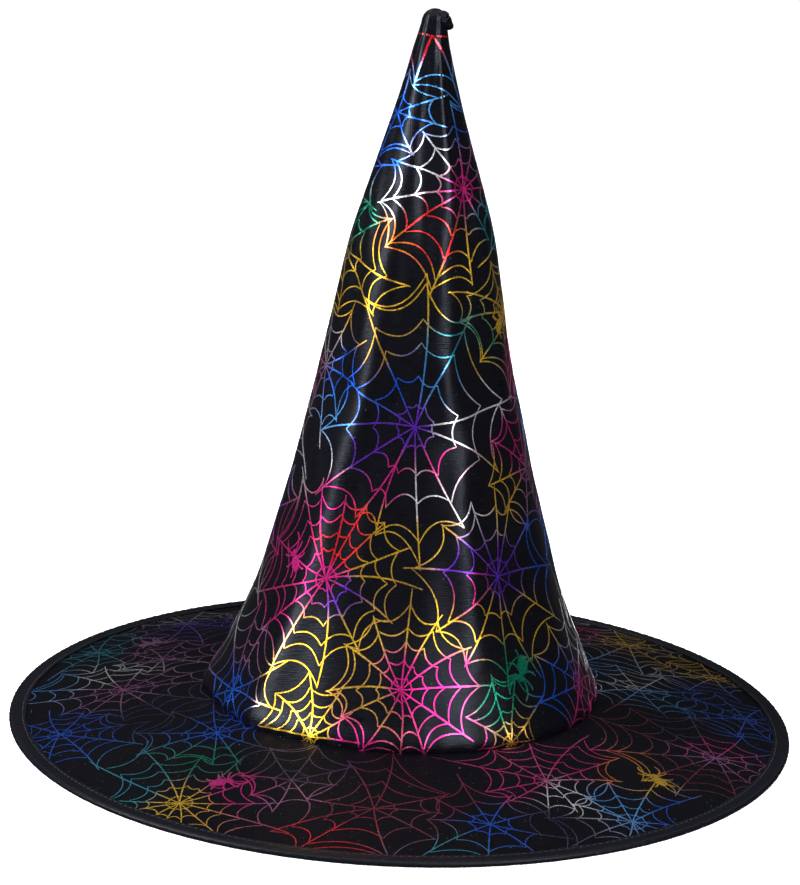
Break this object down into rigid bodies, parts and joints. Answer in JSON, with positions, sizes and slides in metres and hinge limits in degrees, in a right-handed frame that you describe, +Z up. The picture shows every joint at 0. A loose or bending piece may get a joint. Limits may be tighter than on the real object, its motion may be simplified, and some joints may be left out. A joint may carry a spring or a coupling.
{
  "type": "witch hat",
  "caption": "Pointed cone hat in foil-printed black satin with a wide wired brim, a bound edge and a sweatband inside.",
  "frame": {"origin": "centre of the brim's outline, at the level of the underside of its bound edge, where the hat rests", "axes": "+Z up along the crown's axis towards the tip, +Y towards the crown's back seam, +X to the wearer's left as seen from the front"},
  "size_m": [0.38, 0.38, 0.348],
  "materials": {
    "printed_satin": "glossy black satin with a web print in iridescent foil",
    "plain_satin": "black satin, no print",
    "interlining": "matte stiff nonwoven",
    "binding_tape": "black satin bias tape",
    "ribbon": "ribbed black ribbon",
    "thread": "spun polyester sewing thread",
    "label_tape": "blank white woven tape",
    "spring_steel": "drawn spring steel wire",
    "sleeve_brass": "crimped tube"
  },
  "bodies": {
    "root": {"crown_cloth": "printed_satin", "crown_interlining": "interlining", "back_seam_allowances": "interlining", "back_seam_thread": "thread", "tip_tacks": "thread", "brim_top_cloth": "printed_satin", "brim_interlining": "interlining", "brim_bottom_cloth": "plain_satin", "edge_binding": "binding_tape", "binding_thread": "thread", "brim_wire": "spring_steel", "wire_sleeve": "sleeve_brass", "neck_seam_thread": "thread", "sweatband": "ribbon", "sweatband_thread": "thread", "care_label": "label_tape"}
  },
  "joints": []
}
